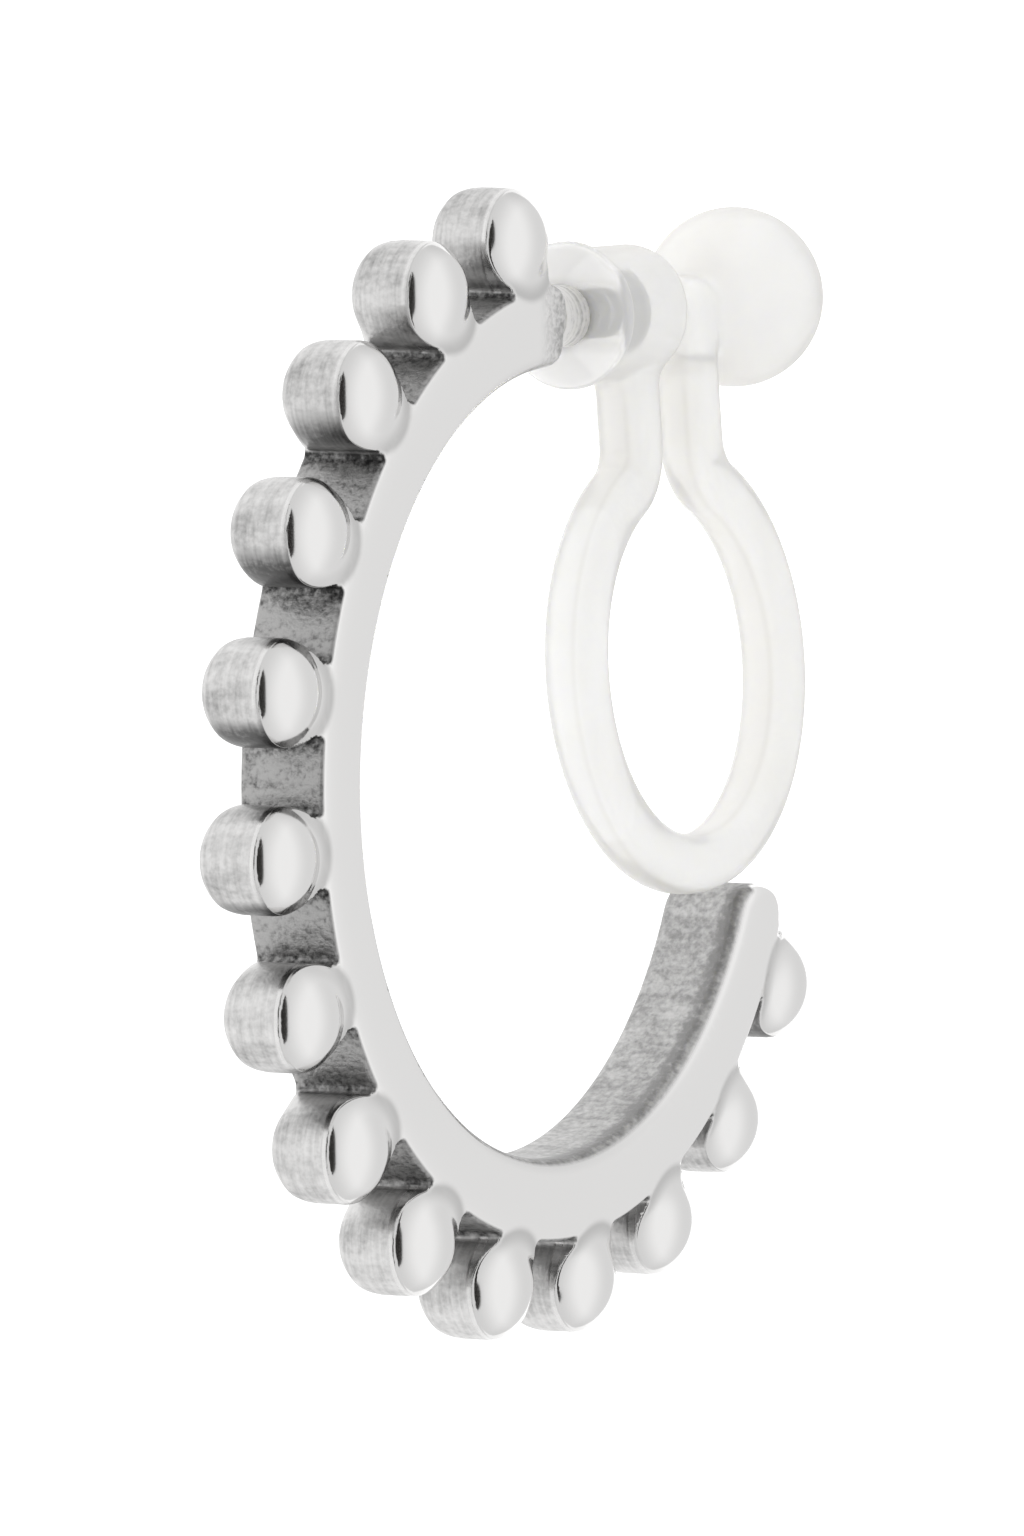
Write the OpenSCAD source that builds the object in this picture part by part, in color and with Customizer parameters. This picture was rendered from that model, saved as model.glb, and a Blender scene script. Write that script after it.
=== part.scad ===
// Clip-on hoop earring: an open cast steel hoop with beads round its rim, whose
// short grooved peg is moulded into a one-piece clear resin clip.
// The hoop's own frame has its centre at the origin, the beads in its XY plane,
// the band's axis along Z and the clip on the +X side. The last module lays the
// earring on its side, as it rests on a table. Sizes are in millimetres.

/* [Band] */
// Inner diameter of the band
band_inner_d = 15.66; // [14:0.02:24]
// Thickness of the band, from its inner to its outer surface
band_t = 1.63; // [1.4:0.01:2.2]
// Width of the band, from its front to its back face
band_w = 2; // [1.8:0.01:2.2]
// Radius of the band's long edges
band_edge_r = 0.2; // [0.1:0.01:0.4]
// Angle of the band's upper end, which carries the peg
band_top_angle = 92.4; // [91:0.1:94]
// Angle of the band's lower end, before its round tip
band_low_angle = 334.8; // [325:0.1:338]
// Corner radius of the upper end, seen from the front
top_corner_r = 0.42; // [0.3:0.01:0.6]

/* [Beads] */
// Number of beads
bead_count = 14; // [8:1:14]
// Step from one bead to the next
bead_step = 18; // [17:0.5:19]
// Angle of the first bead, next to the clip
bead_first = 97.4; // [95:0.2:100]
// Diameter of a bead
bead_d = 2.15; // [1.9:0.01:2.4]
// Length of a bead's straight side
bead_side = 0.98; // [0.8:0.02:1.4]
// Height of the dome at each end of a bead
bead_dome_h = 0.65; // [0.4:0.01:0.8]
// How far a bead's rim reaches into the band
bead_bite = 0.125; // [0.05:0.005:0.2]
// Radius of the hollow fillets on both sides of a neck
neck_fillet_r = 0.2; // [0.15:0.01:0.25]

/* [Peg] */
// Height of the peg's axis over the middle of the band
peg_rise = 0.1; // [0:0.01:0.15]
// Diameter of the peg between the band and the clip
peg_root_d = 1.24; // [1.14:0.02:1.3]
// Diameter of the thin stem just inside the clip
peg_stem_d = 0.8; // [0.6:0.02:0.86]
// Diameter of the grooved head
peg_head_d = 1; // [0.9:0.02:1.1]
// Where the head starts, from the hoop's centre plane
peg_head_start = 2.08; // [1.95:0.01:2.2]
// Where the peg ends, from the hoop's centre plane
peg_end = 3.65; // [3.55:0.01:3.8]
// Depth of a groove in the head
groove_depth = 0.1; // [0.05:0.01:0.12]
// Width of a groove
groove_w = 0.36; // [0.2:0.01:0.4]
// Step between the two grooves
groove_step = 0.6; // [0.5:0.01:0.65]
// Place of the first groove, from the hoop's centre plane
groove_first = 2.6; // [2.5:0.01:2.7]

/* [Clip] */
// Clearance round the peg in the clip
peg_clearance = 0.02; // [0.01:0.01:0.05]
// Where the clip's pad starts, from the hoop's centre plane
pad_start = 1.6; // [1.5:0.01:1.7]
// Thickness of the pad
pad_t = 0.3; // [0.25:0.01:0.35]
// Diameter of the pad
pad_d = 2.94; // [2.8:0.02:3.2]
// Diameter of the collar
collar_d = 2.64; // [2.5:0.02:2.7]
// Where the collar ends, against the front of the ear lobe
collar_end = 4.5; // [4.46:0.01:4.7]
// Radius of the collar's end edge
collar_edge_r = 0.4; // [0.2:0.02:0.5]
// Diameter of the ball behind the ear lobe
ball_d = 3.6; // [3.2:0.02:4]
// Place of the ball's centre, from the hoop's centre plane
ball_at = 8.38; // [8.2:0.01:8.6]
// Height of the ball's centre over the peg's axis
ball_rise = 0.1; // [0:0.01:0.15]
// Diameter of the legs and the loop
wire_d = 1.2; // [1:0.02:1.3]
// Distance between the two legs' centre lines
leg_spacing = 2.42; // [2.4:0.02:2.6]
// Radius of the loop's centre line
loop_r = 3.94; // [3.6:0.02:4.1]
// Place of the loop's centre, from the hoop's centre plane
loop_at = 5.1; // [5.06:0.01:5.16]
// Distance of the loop's centre below the peg's axis
loop_drop = 7.14; // [6.8:0.02:7.3]
// Radius of the bend between a leg and the loop
bend_r = 1.1; // [0.9:0.05:1.3]
// How far the legs and the loop lean towards the front
clip_lean = 4.4; // [0:0.1:8]

/* [Hidden] */
$fn = 96;

// A joining surface stands this much off its neighbour, so that none coincide
hair = 0.01;
// How far one form reaches into the next
sink = 0.05;
// How far a neck's flat faces lie behind the band's
neck_inset = 0.05;
// How deep a neck reaches into the band
neck_root = 0.3;
// Where the peg starts, inside the band's upper end
peg_start = -0.5;

band_inner_r = band_inner_d / 2;
band_outer_r = band_inner_r + band_t;
band_mid_r = band_inner_r + band_t / 2;
bead_r = bead_d / 2;
bead_circle_r = band_outer_r - bead_bite + bead_r;
bead_half = bead_side / 2 + bead_dome_h;
dome_r = (bead_r * bead_r + bead_dome_h * bead_dome_h) / (2 * bead_dome_h);
neck_w = band_w - 2 * neck_inset;
peg_axis_y = band_mid_r + peg_rise;
wire_r = wire_d / 2;
ball_r = ball_d / 2;
ball_leg_at = loop_at + leg_spacing / 2;

function bead_angle(i) = bead_first + i * bead_step;
function polar(r, a) = [r * cos(a), r * sin(a)];

// A neck's fillets are centred off both the band and the bead by nearly their radius
fillet_reach = neck_fillet_r - 2 * hair;
fillet_y = (pow(bead_circle_r, 2) + pow(band_outer_r + fillet_reach, 2)
            - pow(bead_r + fillet_reach, 2)) / (2 * bead_circle_r);
fillet_x = sqrt(pow(band_outer_r + fillet_reach, 2) - pow(fillet_y, 2));

// The bend's centre is off the leg by bend_r, and off the loop by bend_r
bend_x = leg_spacing / 2 + bend_r;
bend_y = sqrt(pow(loop_r + bend_r, 2) - pow(bend_x, 2));
bend_angle = atan2(bend_y, bend_x);

// The earring rests on its ball and on two beads across the hoop from it, counted from 0
rest_beads = [6, 7];
function bead_foot(i) = concat(polar(bead_circle_r, bead_angle(i)), -bead_half);
ball_foot = [ball_at, peg_axis_y + ball_rise, -ball_r];
feet = [ball_foot, bead_foot(rest_beads[0]), bead_foot(rest_beads[1])];
table_normal = cross(feet[1] - feet[0], feet[2] - feet[0]);
table_up = table_normal * sign(table_normal[2]) / norm(table_normal);
rest_axis = cross(table_up, [0, 0, 1]);
rest_tilt = acos(table_up[2]);
rest_depth = -table_up * ball_foot;

// Middle of the earring, seen from above
reach_x = [for (i = [0 : bead_count - 1]) polar(bead_circle_r, bead_angle(i))[0]];
reach_y = [for (i = [0 : bead_count - 1]) polar(bead_circle_r, bead_angle(i))[1]];
middle = [(min(reach_x) + max(reach_x)) / 2, (min(reach_y) + max(reach_y)) / 2];

// Rectangle with the band's rounded edges, t thick and w wide
module section(t, w) {
    flat_t = t - 2 * band_edge_r;
    flat_w = w - 2 * band_edge_r;
    square([t, flat_w], center = true);
    square([flat_t, w], center = true);
    for (x = [-1, 1], y = [-1, 1])
        translate([x * flat_t / 2, y * flat_w / 2])
            circle(band_edge_r);
}

// The half of that rectangle on its +X side
module half_section(t, w) {
    intersection() {
        section(t, w);
        translate([0, -w])
            square([t, 2 * w]);
    }
}

// Rounded end of the band, standing towards +Y across the band's thickness along X
module band_end(corner_r) {
    t = 2 * (corner_r - hair);
    w = band_w - 2 * hair;
    flat = band_t - 2 * corner_r;
    for (side = [0, 1])
        mirror([side, 0, 0])
            translate([flat / 2, 0, 0])
                rotate_extrude(angle = 90)
                    half_section(t, w);
    if (flat > 0)
        translate([-flat / 2, 0, 0])
            rotate([90, 0, 90])
                linear_extrude(flat)
                    half_section(t, w);
}

// Open band with its two rounded ends
module band() {
    rotate([0, 0, band_top_angle])
        rotate_extrude(angle = band_low_angle - band_top_angle)
            translate([band_mid_r, 0])
                section(band_t, band_w);
    rotate([0, 0, band_top_angle])
        translate([band_mid_r, sink, 0])
            mirror([0, 1, 0])
                band_end(top_corner_r);
    rotate([0, 0, band_low_angle])
        translate([band_mid_r, -sink, 0])
            band_end(band_t / 2);
}

// Barrel with a low dome at each end
module bead() {
    intersection() {
        cylinder(r = bead_r, h = 2 * bead_half, center = true);
        translate([0, 0, bead_half - dome_r])
            sphere(dome_r);
        translate([0, 0, dome_r - bead_half])
            sphere(dome_r);
    }
}

// Web between the band and a bead on the +Y axis, hollowed on both sides
module neck() {
    inner = (band_outer_r - neck_root) / norm([fillet_x, fillet_y]);
    linear_extrude(neck_w, center = true)
        difference() {
            polygon([[0, bead_circle_r], [fillet_x, fillet_y], [fillet_x, fillet_y] * inner,
                     [-fillet_x, fillet_y] * inner, [-fillet_x, fillet_y]]);
            for (side = [-1, 1])
                translate([side * fillet_x, fillet_y])
                    circle(neck_fillet_r);
        }
}

// Outline of the peg against its axis, grown by clear: places along X, radii along Y
module peg_outline(start, clear) {
    root = peg_root_d / 2 + clear;
    stem = peg_stem_d / 2 + clear;
    head = peg_head_d / 2 + clear;
    root_end = pad_start - peg_clearance + clear;
    grooves = [for (i = [0, 1]) groove_first + i * groove_step];
    polygon(concat(
        [[start, 0], [start, root], [root_end, root], [root_end, stem]],
        [[peg_head_start - clear, stem], [peg_head_start - clear, head]],
        [for (g = grooves, s = [-1, 0, 1]) [g + s * groove_w / 2, head - (s == 0 ? groove_depth : 0)]],
        [[peg_end + clear, head], [peg_end + clear, 0]]
    ));
}

// Solid turned about a line along X at the peg's height
module turned_on_peg_axis() {
    translate([0, peg_axis_y, 0])
        rotate([0, 90, 0])
            rotate_extrude()
                rotate(90)
                    mirror([0, 1])
                        children();
}

// Steel peg with a root, a thin stem and a grooved head
module peg() {
    turned_on_peg_axis()
        peg_outline(peg_start, 0);
}

// Steel hoop: band, beads, their necks and the peg are one casting
module hoop() {
    color("gainsboro") {
        band();
        for (i = [0 : bead_count - 1])
            rotate([0, 0, bead_angle(i) - 90]) {
                neck();
                translate([0, bead_circle_r, 0])
                    bead();
            }
        peg();
    }
}

// Pad and collar round the peg
module collar() {
    pad_edge_r = pad_t / 2 - hair;
    turned_on_peg_axis() {
        translate([pad_start, 0])
            square([pad_t, pad_d / 2 - pad_edge_r]);
        translate([pad_start + pad_t / 2, pad_d / 2 - pad_edge_r])
            circle(pad_edge_r);
        translate([pad_start + hair, 0])
            square([collar_end - collar_edge_r - pad_start, collar_d / 2]);
        translate([collar_end - 2 * collar_edge_r, 0])
            square([2 * collar_edge_r, collar_d / 2 - collar_edge_r]);
        translate([collar_end - collar_edge_r, collar_d / 2 - collar_edge_r])
            circle(collar_edge_r);
    }
}

// Space that the peg takes up in the clip, with its clearance
module peg_socket() {
    turned_on_peg_axis()
        peg_outline(peg_start, peg_clearance);
}

// Ball a hair thicker than the wire, over the joint of two of its stretches
module wire_joint(x, y) {
    translate([x, y, 0])
        sphere(wire_r + hair);
}

// One leg and its bend, on the +X side of the loop's centre
module leg() {
    translate([leg_spacing / 2, bend_y, 0])
        rotate([-90, 0, 0])
            cylinder(r = wire_r, h = loop_drop - bend_y);
    translate([bend_x, bend_y, 0])
        rotate([0, 0, 180])
            rotate_extrude(angle = bend_angle)
                translate([bend_r, 0])
                    circle(wire_r);
    wire_joint(leg_spacing / 2, bend_y);
    wire_joint(loop_r * cos(bend_angle), loop_r * sin(bend_angle));
}

// Loop and legs in one plane, with the loop's centre at the origin
module loop_and_legs() {
    rotate([0, 0, 180 - bend_angle])
        rotate_extrude(angle = 180 + 2 * bend_angle)
            translate([loop_r, 0])
                circle(wire_r);
    for (side = [0, 1])
        mirror([side, 0, 0])
            leg();
}

// Resin clip: pad, collar, legs, loop and ball are one moulding
module clip() {
    color("whitesmoke", 0.6)
        difference() {
            union() {
                collar();
                translate([0, peg_axis_y, 0])
                    rotate([-clip_lean, 0, 0])
                        translate([loop_at, -loop_drop, 0])
                            loop_and_legs();
                wire_joint(ball_leg_at, peg_axis_y);
                translate([ball_at, peg_axis_y + ball_rise, 0])
                    sphere(ball_r);
            }
            peg_socket();
        }
}

// Lays the hoop's frame down on the table, with its middle over the origin
module at_rest() {
    translate([-middle[0], -middle[1], rest_depth])
        rotate(a = rest_tilt, v = rest_axis)
            children();
}

at_rest() hoop();
at_rest() clip();
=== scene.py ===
# %% [markdown]
# # A beaded hoop earring with a clear resin clip
#
# The earring has two pieces. The hoop is cast steel: an open band with fourteen domed beads
# round its rim and a short grooved peg. The clip is moulded in clear resin round that peg, and
# its sprung loop closes on the ear lobe.
#
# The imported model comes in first, as the fixed frame. Its box is kept, so that the finished
# pieces can be compared with it at the end.

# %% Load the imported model
import math

import bpy
import numpy as np
from mathutils import Matrix, Vector


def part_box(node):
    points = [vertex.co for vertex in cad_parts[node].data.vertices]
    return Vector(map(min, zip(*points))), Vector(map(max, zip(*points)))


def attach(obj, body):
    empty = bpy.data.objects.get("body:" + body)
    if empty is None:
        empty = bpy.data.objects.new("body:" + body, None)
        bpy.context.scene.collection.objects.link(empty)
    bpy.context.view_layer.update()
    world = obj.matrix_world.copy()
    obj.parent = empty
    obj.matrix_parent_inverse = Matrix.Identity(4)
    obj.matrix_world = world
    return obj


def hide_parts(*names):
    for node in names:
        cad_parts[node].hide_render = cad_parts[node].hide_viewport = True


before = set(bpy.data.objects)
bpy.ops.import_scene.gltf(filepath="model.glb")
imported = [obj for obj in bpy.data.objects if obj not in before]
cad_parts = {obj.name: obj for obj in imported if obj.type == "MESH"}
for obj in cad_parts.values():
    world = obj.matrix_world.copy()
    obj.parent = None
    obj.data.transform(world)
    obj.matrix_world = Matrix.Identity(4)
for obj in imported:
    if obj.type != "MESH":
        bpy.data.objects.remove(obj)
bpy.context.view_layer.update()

# %% [markdown]
# ## Writing nodes as sums
#
# Both the shapes and the finishes below are formulas. A node tree of a hundred Math nodes is
# hard to read, so a small class stands for one socket, and Python's own operators add the nodes.


# %% A socket that can be added, multiplied and compared
class Wire:
    """An output socket, on which Python's operators add Math nodes."""

    def __init__(self, board, socket):
        self.board = board
        self.socket = socket

    def __add__(self, other):
        return maths("ADD", self, other)

    def __radd__(self, other):
        return maths("ADD", other, self)

    def __sub__(self, other):
        return maths("SUBTRACT", self, other)

    def __rsub__(self, other):
        return maths("SUBTRACT", other, self)

    def __mul__(self, other):
        return maths("MULTIPLY", self, other)

    def __rmul__(self, other):
        return maths("MULTIPLY", other, self)

    def __truediv__(self, other):
        return maths("DIVIDE", self, other)

    def __rtruediv__(self, other):
        return maths("DIVIDE", other, self)

    def __pow__(self, other):
        return maths("POWER", self, other)

    def __rpow__(self, other):
        return maths("POWER", other, self)

    def __neg__(self):
        return maths("MULTIPLY", self, -1.0)

    def __abs__(self):
        return maths("ABSOLUTE", self)

    def __lt__(self, other):
        return maths("LESS_THAN", self, other)

    def __gt__(self, other):
        return maths("GREATER_THAN", self, other)


# %% A tree that is filled one node at a time
class Board:
    """A node tree, and the one method that adds a node to it."""

    def __init__(self, tree):
        self.tree = tree

    def add(self, kind, settings=None, sockets=None, out=0):
        """Adds a node: its settings first, then a value or wire for each socket, by place or name."""
        node = self.tree.nodes.new(kind)
        for name, value in (settings or {}).items():
            setattr(node, name, value)
        for key, value in (sockets or {}).items():
            socket = find_socket(node.inputs, key)
            if isinstance(value, Wire):
                self.tree.links.new(value.socket, socket)
            else:
                socket.default_value = value
        return Wire(self, find_socket(node.outputs, out)) if len(node.outputs) else node


def find_socket(sockets, key):
    """The socket at a place, with an identifier or with a name."""
    if isinstance(key, int):
        return sockets[key]
    return next((s for s in sockets if s.identifier == key), None) or sockets[key]


def board_of(values):
    """The board that the wires among some values are on."""
    return next(v.board for v in values if isinstance(v, Wire))


def maths(operation, *values):
    """One Math node."""
    return board_of(values).add("ShaderNodeMath", {"operation": operation}, dict(enumerate(values)))


def vector_maths(operation, *values, out=0):
    """One Vector Math node."""
    return board_of(values).add("ShaderNodeVectorMath", {"operation": operation},
                                dict(enumerate(values)), out)


# %% Shorter names for the sums that shapes and finishes are made of
def least(a, b):
    return maths("MINIMUM", a, b)


def most(a, b):
    return maths("MAXIMUM", a, b)


def span(a, b):
    """Length of the hypotenuse over a and b."""
    return maths("SQRT", a * a + b * b)


def choose(condition, yes, no):
    """yes where the condition is 1, and no where it is 0."""
    return no + condition * (yes - no)


def split(wire):
    """The three parts of a vector."""
    outputs = wire.board.add("ShaderNodeSeparateXYZ", None, {0: wire}).socket.node.outputs
    return [Wire(wire.board, outputs[i]) for i in range(3)]


def join(*parts):
    """A vector of three parts."""
    return board_of(parts).add("ShaderNodeCombineXYZ", None, dict(enumerate(parts)))


def eased(value, low, high):
    """0 below low and 1 above high, with a smooth step between."""
    return value.board.add("ShaderNodeMapRange", {"interpolation_type": "SMOOTHSTEP"},
                           {"Value": value, "From Min": low, "From Max": high})


def mix_colours(factor, first, second):
    """Colour between two, by a factor."""
    return factor.board.add("ShaderNodeMix", {"data_type": "RGBA"},
                            {"Factor_Float": factor, "A_Color": first, "B_Color": second},
                            out="Result_Color")


# %% How two forms meet
def rounded_meet(a, b, r):
    """What two forms have in common, with the edge between them rounded."""
    over_a, over_b = a + r, b + r
    outside = span(most(over_a, 0.0), most(over_b, 0.0))
    return outside + least(most(over_a, over_b), 0.0) - r


def melted(a, b, r):
    """Two forms in one, with the corner between them filled."""
    return maths("SMOOTH_MIN", a, b, r)


# %% [markdown]
# ## The earring's own sizes
#
# A jeweller thinks of this hoop from its middle, so its sizes are given in a frame of its own:
# the centre at the origin, the beads in the XY plane and the polished front face towards +Z.
# They are in millimetres and degrees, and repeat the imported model's. Only edges, fillets, the
# band's slight crown and the melts between forms are finer here, as the solids are kept plain.

# %% Sizes of the hoop
MM = 0.001
BAND = {"inner_r": 7.83, "thick": 1.63, "wide": 2.0, "inner_edge_r": 0.3, "outer_edge_r": 0.09,
        "crown": 0.07, "top_angle": 92.4, "top_extra": 20.0, "top_reach": 0.36,
        "top_corner_r": 0.42, "low_angle": 334.8}
BEADS = {"count": 14, "step": 18.0, "first": 97.4, "r": 1.075, "side": 0.98, "dome": 0.65,
         "bite": 0.125, "fillet_r": 0.13, "rim_r": 0.05, "back_rim_r": 0.13}
PEG = {"rise": 0.1, "start": -0.5, "root_r": 0.62, "root_end": 1.58, "root_edge_r": 0.05,
       "stem_r": 0.4, "stem_half": 0.7, "head_r": 0.5, "head_start": 2.08, "end": 3.65,
       "head_edge_r": 0.06, "groove": 0.1, "groove_half": 0.18, "groove_step": 0.6,
       "groove_first": 2.6}
band_mid_r = BAND["inner_r"] + BAND["thick"] / 2
band_outer_r = BAND["inner_r"] + BAND["thick"]
bead_circle_r = band_outer_r - BEADS["bite"] + BEADS["r"]
bead_half = BEADS["side"] / 2 + BEADS["dome"]
peg_y = band_mid_r + PEG["rise"]
print("hoop over its beads:", round(2 * (bead_circle_r + BEADS["r"]), 2), "mm")

# %% Sizes of the clip
CLIP = {"pad_start": 1.6, "pad_thick": 0.3, "pad_r": 1.47, "pad_edge_r": 0.13, "collar_r": 1.32,
        "collar_inset": 0.01, "collar_end": 4.5, "collar_edge_r": 0.4, "ball_r": 1.8,
        "ball_at": 8.38, "ball_rise": 0.1, "wire_r": 0.6, "leg_half": 1.21, "loop_r": 3.94,
        "loop_at": 5.1, "loop_drop": 7.14, "bend_r": 1.1, "lean": 4.4, "socket_gap": 0.02}
print("clip, from its loop's foot to the peg's axis:",
      round(CLIP["loop_drop"] + CLIP["loop_r"] + CLIP["wire_r"], 2), "mm")

# %% [markdown]
# ## How it lies
#
# Laid down, the earring touches the table in three places: under the clip's ball and under the
# two beads across from it. The plane through those three points gives the tilt, just as the
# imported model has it.

# %% From the hoop's own frame to the table
REST_BEADS = (6, 7)


def on_circle(radius, degrees, height=0.0):
    """Point at an angle round the hoop."""
    angle = math.radians(degrees)
    return Vector((radius * math.cos(angle), radius * math.sin(angle), height))


bead_angles = [BEADS["first"] + i * BEADS["step"] for i in range(BEADS["count"])]
feet = [Vector((CLIP["ball_at"], peg_y + CLIP["ball_rise"], -CLIP["ball_r"]))]
feet += [on_circle(bead_circle_r, bead_angles[i], -bead_half) for i in REST_BEADS]
table_up = (feet[1] - feet[0]).cross(feet[2] - feet[0]).normalized()
if table_up.z < 0:
    table_up.negate()
settle_turn = table_up.rotation_difference(Vector((0, 0, 1))).to_matrix().to_4x4()
bead_centres = [on_circle(bead_circle_r, angle) for angle in bead_angles]
middle = [(min(c[i] for c in bead_centres) + max(c[i] for c in bead_centres)) / 2 for i in (0, 1)]
settle = Matrix.Translation((-middle[0], -middle[1], -table_up.dot(feet[0]))) @ settle_turn
hoop_to_row = Matrix.Scale(MM, 4) @ settle
hoop_axis = (settle.to_3x3() @ Vector((0, 0, 1))).normalized()
print("tilt on the table:", round(math.degrees(hoop_axis.angle(Vector((0, 0, 1)))), 3), "degrees")

# %% [markdown]
# ## Camera
#
# The photograph looks at the hoop from 60 degrees off its axis, a little from above, through a
# long lens. Here the hoop lies down, so the camera comes down with it: it keeps its angle to the
# hoop, and is rolled so that the peg stays at the top of the picture.

# %% Set the camera up
OFF_AXIS = 60.02
RISE = 3.75
PICTURE_HEIGHT = 30.34 * MM
CAMERA_DISTANCE = 0.5
CAMERA_REACH = 20
SENSOR = 36.0
AIM = (-0.24, -0.13)

off, rise = math.radians(OFF_AXIS), math.radians(RISE)
right = Vector((math.cos(off), 0, math.sin(off)))
upward = Vector((math.sin(off) * math.sin(rise), math.cos(rise), -math.cos(off) * math.sin(rise)))
backward = right.cross(upward)
looks = Matrix((right, upward, backward)).transposed()
turned = settle.to_3x3() @ looks
camera_data = bpy.data.cameras.new("camera")
camera_data.sensor_width = SENSOR
camera_data.lens = SENSOR * CAMERA_DISTANCE / PICTURE_HEIGHT
camera_data.clip_start = CAMERA_DISTANCE / CAMERA_REACH
camera_data.clip_end = CAMERA_DISTANCE * CAMERA_REACH
camera = bpy.data.objects.new("camera", camera_data)
bpy.context.scene.collection.objects.link(camera)
target = hoop_to_row @ (right * AIM[0] + upward * AIM[1])
place = target + turned @ Vector((0, 0, CAMERA_DISTANCE))
camera.matrix_world = Matrix.Translation(place) @ turned.to_4x4()
bpy.context.scene.camera = camera
print("camera is", round(math.degrees(math.asin((turned @ Vector((0, 0, 1))).z)), 1),
      "degrees above the floor")

# %% [markdown]
# ## Studio
#
# Polished steel shows the room more than itself, so the room is what a jewellery photographer
# builds: a white tent over a glowing white table, which leaves no shadow round the piece. Lamps
# with soft boxes would do too, but each would leave its own square in all fourteen domes.
#
# The table only glows. It takes no light, so a ray that reaches it ends there. The tent is a little
# greyer low down on the side away from the camera, which shades the flat front of the hoop. Light
# that comes through the resin sees the whole tent white, which keeps the clip pale. One dark card
# stands behind the camera, seen only in reflections. It draws the short dark crescents on the bead
# rims that face the camera.


# %% Studio materials and pieces
def new_material(name):
    """Empty material, and the board for its nodes."""
    material = bpy.data.materials.new(name)
    material.use_nodes = True
    material.node_tree.nodes.clear()
    return material, Board(material.node_tree)


def plain(name, colour, glow=0.0):
    """Matt studio surface, which may glow."""
    material, board = new_material(name)
    shader = board.add("ShaderNodeBsdfPrincipled", None, {
        "Base Color": colour, "Roughness": 1.0, "Specular IOR Level": 0.0,
        "Emission Color": (1, 1, 1, 1), "Emission Strength": glow})
    board.add("ShaderNodeOutputMaterial", None, {"Surface": shader})
    return material


def stage_mesh(name, spots, faces, material):
    """Object that belongs to the studio."""
    mesh = bpy.data.meshes.new(name)
    mesh.from_pydata(spots, [], faces)
    mesh.materials.append(material)
    piece = bpy.data.objects.new(name, mesh)
    bpy.context.scene.collection.objects.link(piece)
    return piece


# %% The table
TABLE_HALF = 3.0
TABLE_GLOW = 1.35
corners = [(-TABLE_HALF, -TABLE_HALF, 0), (TABLE_HALF, -TABLE_HALF, 0),
           (TABLE_HALF, TABLE_HALF, 0), (-TABLE_HALF, TABLE_HALF, 0)]
table = stage_mesh("table", corners, [(0, 1, 2, 3)], plain("table_white", (0, 0, 0, 1), TABLE_GLOW))
print("studio has a", table.name)

# %% The tent
TENT_STRENGTH = 1.0
TENT_GREY = 0.79
TENT_GREY_RISE = 10.0
TENT_GREY_RADIUS = (8.0, 70.0)

world = bpy.data.worlds.new("tent")
bpy.context.scene.world = world
world.use_nodes = True
world.node_tree.nodes.clear()
sky = Board(world.node_tree)
# In a world, Generated is the direction that a ray takes
direction = sky.add("ShaderNodeTexCoord", out="Generated")
grey_rise = math.radians(TENT_GREY_RISE)
grey_side = (math.cos(grey_rise), 0, math.sin(grey_rise))
towards_grey = vector_maths("DOT_PRODUCT", direction, grey_side, out="Value")
inner_cosine, outer_cosine = [math.cos(math.radians(a)) for a in TENT_GREY_RADIUS]
through_resin = sky.add("ShaderNodeLightPath", out="Is Transmission Ray")
greyness = eased(towards_grey, outer_cosine, inner_cosine) * (1 - through_resin)
tent_colour = mix_colours(greyness, (1, 1, 1, 1), (TENT_GREY, TENT_GREY, TENT_GREY, 1))
sky.add("ShaderNodeOutputWorld", None, {"Surface": sky.add(
    "ShaderNodeBackground", None, {"Color": tent_colour, "Strength": TENT_STRENGTH})})
bpy.context.scene.view_settings.view_transform = "Standard"
print("the tent's grey reaches", TENT_GREY_RADIUS[1], "degrees from its middle")

# %% The dark card
CARD_DISTANCE = 0.9
CARD_AZIMUTH_HALF = 54.0
CARD_LOW = 24.0
CARD_HIGH = 44.0
CARD_COLUMNS = 24
CARD_BLACK = (0.03, 0.028, 0.026, 1)


def dark_card():
    """Half an oval, bent round the hoop on the camera's side, with no thickness."""
    spots = []
    for column in range(CARD_COLUMNS + 1):
        off_centre = 2 * column / CARD_COLUMNS - 1
        azimuth = math.pi + math.radians(CARD_AZIMUTH_HALF) * off_centre
        top = CARD_LOW + (CARD_HIGH - CARD_LOW) * math.sqrt(1 - off_centre**2)
        for elevation in (CARD_LOW, top):
            up = CARD_DISTANCE * math.tan(math.radians(elevation))
            spots.append((CARD_DISTANCE * math.cos(azimuth), CARD_DISTANCE * math.sin(azimuth), up))
    faces = [(2 * c, 2 * c + 2, 2 * c + 3, 2 * c + 1) for c in range(CARD_COLUMNS)]
    piece = stage_mesh("dark_card", spots, faces, plain("card_black", CARD_BLACK))
    piece.visible_camera = False
    piece.visible_diffuse = False
    piece.visible_shadow = False
    piece.visible_transmission = False
    return piece


card = dark_card()
print("studio has a", card.name)

# %% [markdown]
# ## The hoop as a formula
#
# A cast piece has no seams: band, necks and beads run into each other. A tube and fourteen
# capsules could be joined with booleans and then bevelled, but a bevel tears where three
# rounded forms meet. So the hoop is written as a distance, negative in the metal and positive
# outside, and every edge and melt is one term in it. The round of beads takes no copies: the
# angle is folded, so that every point is measured from its nearest bead.
#
# Seen from the front, the hoop's outline is exact: band, beads, and necks with hollow fillets.
# Its height over that outline is the flat front of the band, which melts into the bead domes.


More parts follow.
